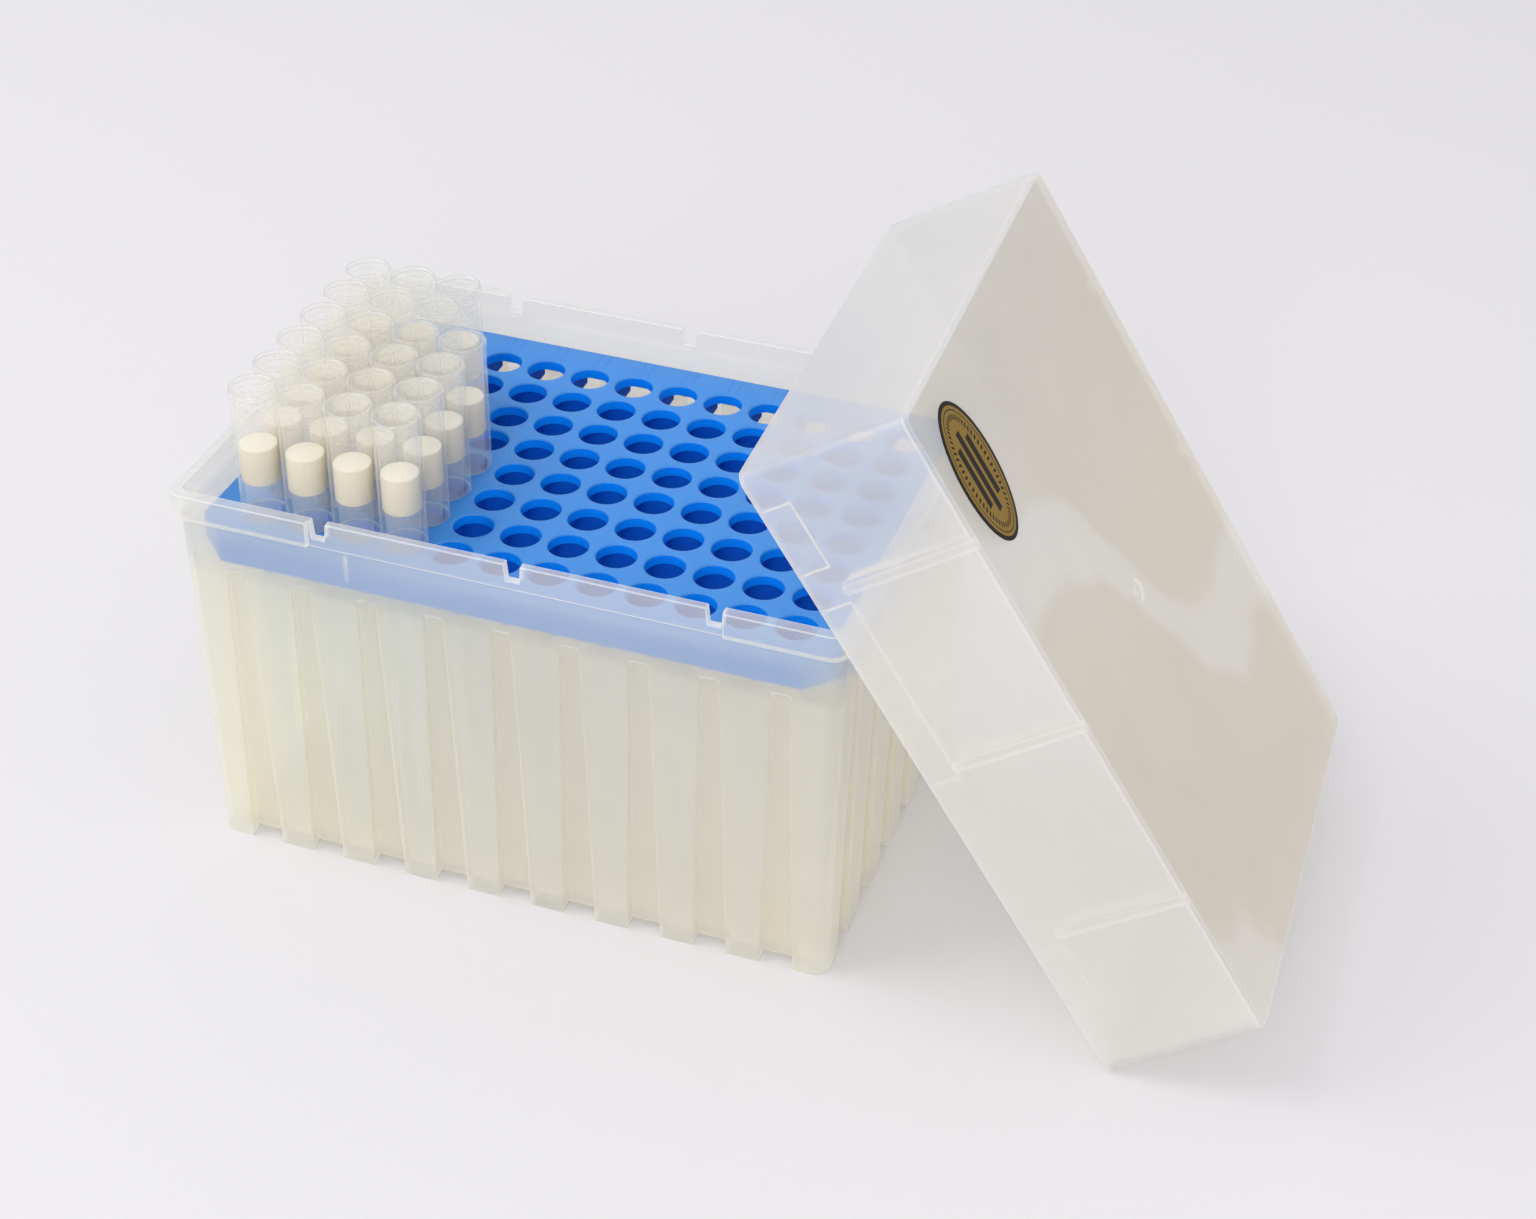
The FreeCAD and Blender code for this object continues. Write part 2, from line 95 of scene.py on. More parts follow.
# Tip: heights are from its shoulder on the deck
TIP_TOP = 25.8
TIP_END = -60.2
TIP_END_RADIUS = 0.7
TIP_ORIFICE = 0.35
TIP_SHAFT = 3.35
TIP_RADIUS = 4.1
TIP_BORE = 3.47
TIP_ROUNDING = 0.2
TIP_LIP = 4.26
TIP_LIP_HEIGHT = 0.9
TIP_LIP_ROUNDING = (0.12, 0.15)
TIP_MOUTH = 0.35
TIP_MOUTH_ROUNDING = 0.15
TIP_SEAT = 7.3
TIP_SEAT_BORE = 3.12

# Rings inside the tip's mouth
TIP_RINGS = (24.1, 22.7, 21.3, 20.0)
TIP_RING_PROUD = 0.05
TIP_RING_FOOT = 0.1
TIP_RING_HALF = 0.05

# Fins along the tip's collar. Half a fin's width is in radians, and the last three are in such
# halves from its middle: its feet and edges, where it ends, and where the even steps go on
TIP_FINS = 6
TIP_STEPS_PER_FIN = 9
TIP_FIN_PROUD = 0.1
TIP_FIN_TOP = 19.0
TIP_FIN_RUNOUT = 0.4
TIP_FIN_HALF = 0.035
TIP_FIN_POINTS = (-2, -1, 1, 2)
TIP_FIN_END = 1.5
TIP_FIN_ROOM = 2.5

# Each tip is turned by this angle from the one before it, so that their fins don't line up
TIP_TURN = 2.399

FILTER_RADIUS = 3.35
FILTER_LENGTH = 7.2
FILTER_EDGE = 0.25
FILTER_SEGMENTS = 48

# A rounded edge has a middle point this share of its size away from both faces
ROUND_MIDDLE = 0.3

# Lid: its own size, where its lower edge stands, its turn in degrees, and the point of the tub's
# rim that it leans on
LID_HALF_LENGTH = 63.43
LID_HALF_WIDTH = 45.38
LID_DEPTH = 30.0
LID_FOOT = (111.8, -2.2)
LID_TURN = 1.45
RIM_POINT = (61.85, 40.75, 76.2)

# Low pads beside the lid's mouth, from end to end along it, and the lines round them
LID_PADS = ((-56.0, -43.3), (-36.5, -0.3), (36.4, 49.1))
LID_PAD_HEIGHT = 5.4
LID_PAD_FACE = 44.13
LID_LINE_WIDTH = 0.3
LID_LINE_PROUD = 0.07
LID_LINE_FOOT = 0.3

# Ribs inside the lid's long walls: how far the first is from the lid's middle, their spacing, and
# how high above the mouth they end
LID_RIB_START = 39.0
LID_RIB_SPACING = 36.0
LID_RIB_FOOT = 6.5

# Pale mark that a rib leaves on its wall. It fades out between the edge's two distances from the
# rib's middle line, and inwards, to the core's share, between the core's two. It is on the walls
# only, beyond the side's two distances from the lid's middle
RIB_MARK_EDGE = (0.9, 1.2)
RIB_MARK_CORE = (0.3, 0.8)
RIB_MARK_CORE_SHARE = 0.55
RIB_MARK_SIDE = (40.0, 40.5)

# Pale flow mark in the lid's top: an S through the gate and a lobe in one corner. The S swings
# this far to either side, over about this length, and fades between two distances from its middle;
# the lobe fades between two distances from its corner. Both edges wobble by up to the last
FLOW_MIDDLE = (-2.4, -3.4)
FLOW_SWING = 25.0
FLOW_LENGTH = 12.0
FLOW_HALF = (5.5, 9.5)
FLOW_LOBE = (63.4, -45.4)
FLOW_LOBE_REACH = (18.0, 24.0)
FLOW_WOBBLE = 3.0

# Label: its middle from the lid's corner, half its length and width, and its print
LABEL_PLACE = (18.5, 13.2)
LABEL_HALF = (12.55, 7.45)
LABEL_SEGMENTS = 96
LABEL_THICKNESS = 0.12
LABEL_EDGE = (0.06, 0.02)
LABEL_BORDER = 0.75
LABEL_LINE_INSET = 1.35
LABEL_LINE = 0.2
LABEL_BARS = ((2.3, 5.4), (0.0, 7.3), (-2.3, 5.4))
LABEL_BAR_HALF = 0.7
LABEL_TICKS = 56
LABEL_TICK_INSET = (2.2, 3.1)
LABEL_TICK_HALF = 0.22
LABEL_PRINT = 0.015

# Rounding of the tub's and the lid's edges, and the most of the room beside an edge that it takes.
# An edge leaves another one sideways if the cosine of the angle between them is below the last
TUB_ROUNDING = 0.22
LID_ROUNDING = 0.18
ROUNDING_SHARE = 0.4
SIDEWAYS_COSINE = 0.87

# Edges that turn by more than this are corners; less is a strip of a rounded surface
CORNER = math.radians(40)

# Faces that turn by less than this are one plane. Points closer than these are one point, and an
# edge shorter than the last has no length
SAME_PLANE = math.radians(0.6)
SAME_POINT = 0.002
SAME_ROUNDED_POINT = 0.001
NO_LENGTH = 0.0001

# Turn, in degrees, above which an edge of a finished mesh stays sharp
SHARP = 60
SHARP_ROUNDED = 50
SHARP_TIP = 32

# Weight of the modifier that evens the shading of the tub and the lid
EVEN_SHADING_WEIGHT = 80

# Faces narrower than the first are fine lines. Narrower than the others, they are walls seen end
# on, and look paler than broad ones
LINE_WIDTH = 0.3
TUB_NARROW = 1.1
LID_NARROW = 1.95

# The floor of a flute leans more than the tub's wall: how much, as its normal's height
FLUTE_LEAN = (0.02, 0.04)

# The lid's strips and its top, as the cosine of the angle between their normal and the lid's own
# upright, and how far below the lid's full depth its flat top may lie
LID_EDGE_TILTS = ((0.1, 0.5), (0.9, 0.99))
LID_MOUTH_TILT = -0.9
LID_TOP_TILT = 0.99
LID_TOP_DROP = 0.1

# Places in a moulding's list of plastics; the last is the tub's flutes or the lid's top
BROAD, LINE, NARROW, OWN = range(4)

# Places in the deck's list of plastics
PLATE, INSIDE, UNDER = range(3)

# ---------------------------------------------------------------- plastics' values

# Scales of noise are per metre, and the depths of uneven surfaces are lengths like the others.

# Thin walls. Noise of this scale makes milk and surface slightly uneven. Where it is spread over
# other values, those beyond the range count as its ends
CLOUD_SCALE = 35.0
CLOUD_RANGE = (0.3, 0.7)
CLOUD_PALER = 1.01
MILK_VARIES = 0.02
WAVE_DEPTH = 1.0

# A ray bends on its way into a wall, and at a slant it runs further through the milk. By Snell's
# law its cosine inside is sqrt(BENT * cosine ** 2 + 1 - BENT); BENT is 1 / 1.49 ** 2, rounded
BENT = 0.45

# Scattering on the way through, where a wall has some of it
BLUR_IOR = 1.25
BLUR_ROUGHNESS = 0.5

# Shine: the shares that show face on and edge on, how fast it grows between them, and how rough
# the surface is for it
SHINE_FACE_ON = 0.04
SHINE_EDGE_ON = 0.9
SHINE_POWER = 5.0
TUB_ROUGHNESS = 0.3
LID_ROUGHNESS = 0.2

# The tub is clearer above the band's foot, and it blurs what is behind it only there. From the
# rim's foot on it blurs this share as much. One change fades to either side, the other upwards
BAND_FOOT = 60.5
BAND_FADE = 0.6
RIM_FOOT = 69.5
RIM_FADE = 1.5
RIM_BLUR = 0.15

# Tip: tint of what goes through; painted blue light bounced from the deck, and the haze added with
# it, near the deck; the grey at a slant, which is painted shade, and the most that it hides there;
# and its shine
TIP_CLOUD_SCALE = 300.0
TIP_CLEAR = (0.998, 0.997, 0.988, 1.0)
TIP_PAINTED_DECK_LIGHT = (0.82, 0.92, 1.0, 1.0)
TIP_PAINTED_DECK_LIGHT_HAZE = 0.08
TIP_PAINTED_SHADE_AT_SLANT = (0.78, 0.775, 0.755, 1.0)
TIP_SLANT_HIDES_MOST = 0.9
TIP_ROUGHNESS = 0.1
TIP_SHINE_EDGE_ON = 0.5

# Deck: noise in its colour, and its fine grain
DECK_CLOUD_SCALE = 60.0
DECK_GRAIN_SCALE = 1400.0
DECK_GRAIN_STRENGTH = 0.25
DECK_GRAIN_DEPTH = 0.1

# Filter: noise in its colour, its grains, and how far up a face looks where the top's colour fades
# in, as its normal's height. The top's paler colour is painted light from above and the sides'
# darker colour painted shade
FOAM_CLOUD_SCALE = 500.0
FOAM_GRAIN_SCALE = 2600.0
FOAM_GRAIN_STRENGTH = 0.5
FOAM_GRAIN_DEPTH = 0.2
FOAM_PAINTED_LIGHT_UPWARD = (0.3, 0.8)
FOAM_ROUGHNESS = 0.9
FOAM_SPECULAR = 0.2

# Label: noise in its colour and surface
FOIL_SCALE = 700.0
FOIL_STRENGTH = 0.1
FOIL_DEPTH = 0.1
FOIL_SPECULAR = 0.25


def linear(value):
    """One sRGB byte as scene-linear light."""
    share = value / 255
    return share / 12.92 if share <= 0.04045 else ((share + 0.055) / 1.055) ** 2.4


def colour(red, green, blue):
    return (linear(red), linear(green), linear(blue), 1.0)


def lighter(shade, times):
    return tuple(min(1.0, channel * times) for channel in shade[:3]) + (1.0,)


# ---------------------------------------------------------------- the lid's own frame

def lid_frame():
    """The lid's own frame: its mouth at z = 0, its middle at the origin."""
    turn = math.radians(LID_TURN)
    rim_run = RIM_POINT[0] * math.cos(turn) + RIM_POINT[1] * math.sin(turn)
    foot_run = LID_FOOT[0] * math.cos(turn) + LID_FOOT[1] * math.sin(turn)
    lean = math.atan2(RIM_POINT[2], foot_run - rim_run)
    at_foot = Matrix.Translation((LID_FOOT[0] * MM, LID_FOOT[1] * MM, 0))
    leaned = Matrix.Rotation(turn, 4, "Z") @ Matrix.Rotation(lean, 4, "Y")
    return at_foot @ leaned @ Matrix.Translation((-LID_HALF_LENGTH * MM, 0, 0))


LID_PLACE = lid_frame()


# ---------------------------------------------------------------- materials

class Surface:
    """A material and the few helpers that wire its nodes."""

    def __init__(self, name):
        self.material = bpy.data.materials.new(name)
        self.material.use_nodes = True
        self.tree = self.material.node_tree
        self.tree.nodes.clear()
        self.output = self.add("ShaderNodeOutputMaterial")

    def add(self, kind, **settings):
        node = self.tree.nodes.new(kind)
        for key, value in settings.items():
            setattr(node, key, value)
        return node

    def link(self, source, target):
        self.tree.links.new(source, target)

    def feed(self, source, target):
        """Set a plain number or colour, or link another node's output."""
        if isinstance(source, (float, tuple)):
            target.default_value = source
        else:
            self.link(source, target)

    def show(self, shader):
        self.link(shader, self.output.inputs["Surface"])
        return self.material

    def coordinates(self, own_frame=None):
        """Places in the object's coordinates, or in a frame of the object's own."""
        place = self.add("ShaderNodeTexCoord").outputs["Object"]
        if own_frame is None:
            return place
        into = own_frame.inverted()
        mapping = self.add("ShaderNodeMapping", vector_type="POINT")
        mapping.inputs["Location"].default_value = into.translation
        mapping.inputs["Rotation"].default_value = into.to_euler("XYZ")
        self.link(place, mapping.inputs["Vector"])
        return mapping.outputs["Vector"]

    def split(self, vector):
        apart = self.add("ShaderNodeSeparateXYZ")
        self.link(vector, apart.inputs[0])
        return [apart.outputs[axis] for axis in "XYZ"]

    def noise(self, place, scale, detail=4.0, roughness=0.6):
        node = self.add("ShaderNodeTexNoise")
        node.inputs["Scale"].default_value = scale
        node.inputs["Detail"].default_value = detail
        node.inputs["Roughness"].default_value = roughness
        self.link(place, node.inputs["Vector"])
        return node.outputs["Fac"]

    def spread(self, value, low, high, out_low, out_high):
        """Value from low to high, turned into out_low to out_high and held there beyond them."""
        node = self.add("ShaderNodeMapRange")
        limits = {"From Min": low, "From Max": high, "To Min": out_low, "To Max": out_high}
        for socket, number in limits.items():
            node.inputs[socket].default_value = number
        self.link(value, node.inputs["Value"])
        return node.outputs["Result"]

    def blend(self, factor, first, second):
        """Colour between two colours, each a plain colour or another node's output."""
        node = self.add("ShaderNodeMix", data_type="RGBA")
        self.link(factor, node.inputs["Factor"])
        shades = {"A": first, "B": second}
        for socket in node.inputs:
            if socket.type == "RGBA":
                self.feed(shades[socket.name], socket)
        return [socket for socket in node.outputs if socket.type == "RGBA"][0]

    def bump(self, height, strength, distance):
        node = self.add("ShaderNodeBump")
        node.inputs["Strength"].default_value = strength
        node.inputs["Distance"].default_value = distance
        self.link(height, node.inputs["Height"])
        return node.outputs["Normal"]

    def math(self, operation, first, second=0.0):
        node = self.add("ShaderNodeMath", operation=operation)
        self.feed(first, node.inputs[0])
        self.feed(second, node.inputs[1])
        return node.outputs[0]

    def distance(self, first, second):
        """Length of the hypotenuse over two sides."""
        squares = [self.math("MULTIPLY", side, side) for side in (first, second)]
        return self.math("SQRT", self.math("ADD", *squares))

    def facing(self):
        """0 where a face is seen straight on, 1 where it is seen edge on."""
        slant = self.add("ShaderNodeLayerWeight")
        slant.inputs["Blend"].default_value = 0.5
        return slant.outputs["Facing"]

    def mix(self, share, first, second):
        node = self.add("ShaderNodeMixShader")
        self.feed(share, node.inputs[0])
        self.link(first, node.inputs[1])
        self.link(second, node.inputs[2])
        return node.outputs[0]

    def milk(self, plain, shade, normal=None):
        """Light scattered back and light scattered through, in equal parts."""
        parts = []
        for kind in ("ShaderNodeBsdfDiffuse", "ShaderNodeBsdfTranslucent"):
            node = self.add(kind)
            node.inputs["Color"].default_value = plain
            self.link(shade, node.inputs["Color"])
            if normal is not None:
                self.link(normal, node.inputs["Normal"])
            parts.append(node.outputs[0])
        return self.mix(0.5, *parts)

    def passed(self, shade, blur):
        """Light that goes straight through, or a share of it scattered a little on the way."""
        straight = self.add("ShaderNodeBsdfTransparent")
        self.feed(shade, straight.inputs["Color"])
        if blur == 0.0:
            return straight.outputs[0]
        scattered = self.add("ShaderNodeBsdfRefraction")
        self.feed(shade, scattered.inputs["Color"])
        scattered.inputs["IOR"].default_value = BLUR_IOR
        scattered.inputs["Roughness"].default_value = BLUR_ROUGHNESS
        return self.mix(blur, straight.outputs[0], scattered.outputs[0])

    def shine(self, base, facing, roughness, normal=None, most=SHINE_EDGE_ON):
        """Base with a plastic's shine over it: little face on, most of it edge on."""
        node = self.add("ShaderNodeBsdfGlossy")
        node.inputs["Color"].default_value = (1.0, 1.0, 1.0, 1.0)
        node.inputs["Roughness"].default_value = roughness
        if normal is not None:
            self.link(normal, node.inputs["Normal"])
        grazing = self.math("POWER", facing, SHINE_POWER)
        share = self.spread(grazing, 0.0, 1.0, SHINE_FACE_ON, most)
        return self.mix(share, base, node.outputs[0])

    def solid(self, shade, roughness, specular, normal, metallic=0.0):
        """Body that hides what is behind it."""
        body = self.add("ShaderNodeBsdfPrincipled")
        self.link(shade, body.inputs["Base Color"])
        body.inputs["Roughness"].default_value = roughness
        body.inputs["Metallic"].default_value = metallic
        body.inputs["Specular IOR Level"].default_value = specular
        self.link(normal, body.inputs["Normal"])
        return self.show(body.outputs[0])


class ThinWall(Surface):
    """Natural polypropylene: clear enough to see through, with milk that hides more at a slant.

    Clear is the tint of the light that goes through and milk the colour of the rest. Share is how
    much of the light meets milk face on, wave how uneven the surface is, and blur how much of the
    light that goes through is scattered a little, so that distant things look soft.
    """

    def __init__(self, name, clear, milk, share, roughness, wave, blur=0.0, own_frame=None):
        super().__init__(name)
        self.place = self.coordinates(own_frame)
        self.cloud = self.noise(self.place, CLOUD_SCALE, detail=2.0)
        self.normal = self.bump(self.cloud, wave, WAVE_DEPTH * MM)
        self.plain_milk, self.share = milk, share
        self.roughness, self.blur = roughness, blur
        self.clear_shade = clear
        self.milk_shade = self.blend(self.cloud, milk, lighter(milk, CLOUD_PALER))
        low, high = 1 - share - MILK_VARIES, 1 - share + MILK_VARIES
        self.left_clear = self.spread(self.cloud, *CLOUD_RANGE, low, high)

    def add_band(self, share, clear, milk):
        """The tub's clearer band, up to its rim, with its own share of milk and its own colours."""
        height = self.split(self.place)[2]
        above = self.spread(
            height, (BAND_FOOT - BAND_FADE) * MM, (BAND_FOOT + BAND_FADE) * MM, 0.0, 1.0
        )
        self.clear_shade = self.blend(above, self.clear_shade, clear)
        self.milk_shade = self.blend(above, self.plain_milk, milk)
        gained = self.math("MULTIPLY", above, self.share - share)
        self.left_clear = self.math("ADD", self.left_clear, gained)
        if self.blur:
            skirt = self.spread(
                height, RIM_FOOT * MM, (RIM_FOOT + RIM_FADE) * MM, self.blur, RIM_BLUR * self.blur
            )
            self.blur = self.math("MULTIPLY", above, skirt)

    def add_rib_marks(self, share, milk):
        """A paler stripe with more milk over each of the lid's ribs, rounded like its end."""
        x, y, z = self.split(self.place)
        half = LID_RIB_SPACING / 2
        across = self.math("ADD", x, (LID_RIB_START + half + LID_RIB_SPACING) * MM)
        across = self.math("MODULO", across, LID_RIB_SPACING * MM)
        across = self.math("SUBTRACT", across, half * MM)
        below = self.math("MINIMUM", self.math("SUBTRACT", z, LID_RIB_FOOT * MM), 0.0)
        off = self.distance(across, below)
        rib = self.spread(off, RIB_MARK_EDGE[0] * MM, RIB_MARK_EDGE[1] * MM, 1.0, 0.0)
        core = self.spread(
            off, RIB_MARK_CORE[0] * MM, RIB_MARK_CORE[1] * MM, RIB_MARK_CORE_SHARE, 1.0
        )
        side = self.math("ABSOLUTE", y)
        on_wall = self.spread(side, RIB_MARK_SIDE[0] * MM, RIB_MARK_SIDE[1] * MM, 0.0, 1.0)
        mark = self.math("MULTIPLY", self.math("MULTIPLY", rib, core), on_wall)
        self.milk_shade = self.blend(mark, self.plain_milk, milk)
        lost = self.math("MULTIPLY", mark, share)
        self.left_clear = self.math("SUBTRACT", self.left_clear, lost)

    def add_flow_mark(self, clear, milk):
        """The pale mark that the plastic left as it flowed over the lid's top, and darker colours
        beside it."""
        x, y = self.split(self.place)[:2]
        wobble = self.spread(self.cloud, *CLOUD_RANGE, -FLOW_WOBBLE * MM, FLOW_WOBBLE * MM)
        along = self.math("SUBTRACT", y, FLOW_MIDDLE[1] * MM)
        swing = self.math("TANH", self.math("MULTIPLY", along, 1 / (FLOW_LENGTH * MM)))
        middle = self.math("MULTIPLY", swing, FLOW_SWING * MM)
        off = self.math("SUBTRACT", self.math("SUBTRACT", x, FLOW_MIDDLE[0] * MM), middle)
        off = self.math("ABSOLUTE", self.math("ADD", off, wobble))
        bend = self.spread(off, FLOW_HALF[0] * MM, FLOW_HALF[1] * MM, 1.0, 0.0)
        from_lobe = [self.math("SUBTRACT", x, FLOW_LOBE[0] * MM)]
        from_lobe.append(self.math("SUBTRACT", y, FLOW_LOBE[1] * MM))
        reach = self.math("ADD", self.distance(*from_lobe), wobble)
        lobe = self.spread(reach, FLOW_LOBE_REACH[0] * MM, FLOW_LOBE_REACH[1] * MM, 1.0, 0.0)
        mark = self.math("MAXIMUM", bend, lobe)
        self.clear_shade = self.blend(mark, clear, self.clear_shade)
        self.milk_shade = self.blend(mark, milk, self.plain_milk)

    def finish(self):
        facing = self.facing()
        cosine = self.math("SUBTRACT", 1.0, facing)
        bent = self.math("MULTIPLY", self.math("MULTIPLY", cosine, cosine), BENT)
        inside = self.math("SQRT", self.math("ADD", bent, 1 - BENT))
        through = self.math("POWER", self.left_clear, self.math("DIVIDE", 1.0, inside))
        milky = self.milk(self.plain_milk, self.milk_shade, self.normal)
        hazy = self.mix(through, milky, self.passed(self.clear_shade, self.blur))
        return self.show(self.shine(hazy, facing, self.roughness, self.normal))


def tub_plastic(name, clear, milk, share, wave, band=None, blur=0.0):
    """Band is the tub's clearer band: its share of milk, its clear colour and its milk."""
    wall = ThinWall(name, clear, milk, share, TUB_ROUGHNESS, wave, blur)
    if band is not None:
        wall.add_band(*band)
    return wall.finish()


def lid_plastic(name, clear, milk, share, wave, ribs=None, flow=None, blur=0.0):
    """Ribs are the extra share of milk and its colour over a rib, flow the clear colour and the
    milk beside the flow mark."""
    own_frame = LID_PLACE if ribs or flow else None
    wall = ThinWall(name, clear, milk, share, LID_ROUGHNESS, wave, blur, own_frame)
    if ribs is not None:
        wall.add_rib_marks(*ribs)
    if flow is not None:
        wall.add_flow_mark(*flow)
    return wall.finish()


def blue_plastic(name, shade_low, shade_high, specular, roughness):
    surface = Surface(name)
    place = surface.coordinates()
    grain = surface.noise(place, DECK_GRAIN_SCALE, detail=3.0)
    uneven = surface.bump(grain, DECK_GRAIN_STRENGTH, DECK_GRAIN_DEPTH * MM)
    shade = surface.blend(surface.noise(place, DECK_CLOUD_SCALE), shade_low, shade_high)
    return surface.solid(shade, roughness, specular, uneven)


def tip_plastic(name, milk, haze_low, haze_high, edge_power):
    """Clear tip: light goes straight through face on; slanting walls hide more, in a painted grey
    shade.
    """
    surface = Surface(name)
    place = surface.coordinates()
    cloud = surface.noise(place, TIP_CLOUD_SCALE, detail=2.0)
    facing = surface.facing()
    edge = surface.math("POWER", facing, edge_power)
    # Painted light: near the deck the milk turns blue, as if lit by the deck, and hides a little
    # more
    painted_deck_light = surface.spread(surface.split(place)[2], 0.0, TIP_SEAT * MM, 1.0, 0.0)
    haze = surface.spread(cloud, *CLOUD_RANGE, haze_low, haze_high)
    haze = surface.math("ADD", haze, surface.math("MULTIPLY", painted_deck_light, TIP_PAINTED_DECK_LIGHT_HAZE))
    slanting = surface.math("MULTIPLY", edge, TIP_SLANT_HIDES_MOST)
    shade = surface.blend(painted_deck_light, milk, TIP_PAINTED_DECK_LIGHT)
    # Painted shade: slanting walls turn grey, besides hiding more as a longer path through milk does
    shade = surface.blend(edge, shade, TIP_PAINTED_SHADE_AT_SLANT)
    hidden = surface.math("MAXIMUM", slanting, haze)
    hazy = surface.mix(hidden, surface.passed(TIP_CLEAR, 0.0), surface.milk(milk, shade))
    return surface.show(surface.shine(hazy, facing, TIP_ROUGHNESS, most=TIP_SHINE_EDGE_ON))


def filter_foam(side, top):
    """Matt sintered grains: painted light on top, painted shade on the sides; two colours for each.
    """
    surface = Surface("sintered_filter")
    place = surface.coordinates()
    grains = surface.noise(place, FOAM_GRAIN_SCALE, detail=5.0, roughness=0.7)
    uneven = surface.bump(grains, FOAM_GRAIN_STRENGTH, FOAM_GRAIN_DEPTH * MM)
    cloud = surface.noise(place, FOAM_CLOUD_SCALE)
    upward = surface.split(surface.add("ShaderNodeNewGeometry").outputs["Normal"])[2]
    painted_light_on_top = surface.spread(upward, *FOAM_PAINTED_LIGHT_UPWARD, 0.0, 1.0)
    # Painted light and shade: the top's paler colours fade in as a face turns up, the sides keep the
    # darker
    shade = surface.blend(painted_light_on_top, surface.blend(cloud, *side), surface.blend(cloud, *top))
    return surface.solid(shade, FOAM_ROUGHNESS, FOAM_SPECULAR, uneven)


def foil(name, shade_low, shade_high, roughness, metallic):
    surface = Surface(name)
    brushed = surface.noise(surface.coordinates(), FOIL_SCALE, detail=3.0)
    uneven = surface.bump(brushed, FOIL_STRENGTH, FOIL_DEPTH * MM)
    shade = surface.blend(brushed, shade_low, shade_high)
    return surface.solid(shade, roughness, FOIL_SPECULAR, uneven, metallic)


TUB_PLASTIC = tub_plastic(
    "natural_polypropylene", (0.99, 0.982, 0.92, 1.0), (0.995, 0.988, 0.93, 1.0),
    share=0.39, wave=0.2, blur=0.2,
    band=(0.235, (0.995, 0.988, 0.952, 1.0), (0.995, 0.987, 0.955, 1.0)),
)
TUB_FLUTE = tub_plastic(
    "natural_polypropylene_flute", (0.988, 0.97, 0.885, 1.0), (0.985, 0.962, 0.88, 1.0),
    share=0.43, wave=0.2,
)
TUB_LINE = tub_plastic(
    "natural_polypropylene_line", (0.99, 0.985, 0.93, 1.0), (0.99, 0.98, 0.905, 1.0),
    share=0.46, wave=0.1,
    band=(0.68, (0.99, 0.985, 0.96, 1.0), (0.975, 0.97, 0.955, 1.0)),
)
TUB_EDGE = tub_plastic(
    "natural_polypropylene_edge", (0.99, 0.985, 0.93, 1.0), (0.99, 0.98, 0.92, 1.0),
    share=0.5, wave=0.1,
    band=(0.72, (0.99, 0.985, 0.95, 1.0), (1.0, 0.99, 0.955, 1.0)),
)
LID_PLASTIC = lid_plastic(
    "clear_polypropylene", (0.987, 0.979, 0.955, 1.0), (0.96, 0.957, 0.948, 1.0),
    share=0.34, wave=0.2, blur=0.25,
    ribs=(0.13, (0.99, 0.985, 0.965, 1.0)),
)
LID_TOP = lid_plastic(
    "clear_polypropylene_top", (0.986, 0.973, 0.92, 1.0), (0.985, 0.965, 0.918, 1.0),
    share=0.36, wave=0.2, blur=0.12,
    flow=((0.935, 0.9, 0.8, 1.0), (0.913, 0.87, 0.778, 1.0)),
)
LID_LINE = lid_plastic(
    "clear_polypropylene_line", (0.99, 0.985, 0.96, 1.0), (0.99, 0.985, 0.965, 1.0),
    share=0.75, wave=0.1,
)
LID_EDGE = lid_plastic(
    "clear_polypropylene_edge", (0.98, 0.975, 0.95, 1.0), (0.98, 0.975, 0.955, 1.0),
    share=0.5, wave=0.1,
)
# Plate, skirt and mould lines: the deck's own blue, paled by a painted sheen
DECK_BLUE_AND_SHEEN = blue_plastic(
    "blue_polypropylene", colour(50, 133, 215), colour(58, 139, 221),
    specular=0.5, roughness=0.42,
)
# Hole walls and the plate's underside: brighter, deeper blue, painted glow of light through the
# plastic
DECK_PAINTED_GLOW = blue_plastic(
    "blue_polypropylene_painted_glow", colour(0, 125, 238), colour(0, 131, 242),
    specular=0.06, roughness=0.6,
)
# Ribs under the plate: a darker blue that is painted shade
DECK_PAINTED_SHADE = blue_plastic(
    "blue_polypropylene_painted_shade", colour(0, 84, 198), colour(0, 90, 206),
    specular=0.06, roughness=0.6,
)
TIP_PLASTIC = tip_plastic(
    "clear_tip", (0.985, 0.98, 0.945, 1.0), haze_low=0.115, haze_high=0.145, edge_power=5.0
)
# The tip's fine lines: the same clear plastic, with more milk and a grey that is painted shade
TIP_SHADED_LINE = tip_plastic(
    "clear_tip_shaded_edge", (0.74, 0.735, 0.715, 1.0), haze_low=0.55, haze_high=0.62, edge_power=3.0
)
# The sides' darker colours are painted shade, the top's paler ones painted light from above
FILTER_FOAM = filter_foam(
    side=(colour(219, 209, 186), colour(225, 216, 196)),
    top=(colour(238, 230, 210), colour(244, 238, 222)),
)
LABEL_GOLD = foil(
    "label_gold", colour(138, 108, 36), colour(150, 120, 46), roughness=0.5, metallic=0.35
)
LABEL_INK = foil("label_ink", colour(16, 12, 7), colour(24, 19, 12), roughness=0.6, metallic=0.0)


# ---------------------------------------------------------------- mesh helpers

def sharpen(bm, degrees):
    """Smooth faces, with every edge that turns by more than this left sharp."""
    limit = math.radians(degrees)
    for face in bm.faces:
        face.smooth = True
    for edge in bm.edges:
        edge.smooth = len(edge.link_faces) != 2 or edge.calc_face_angle(0.0) < limit


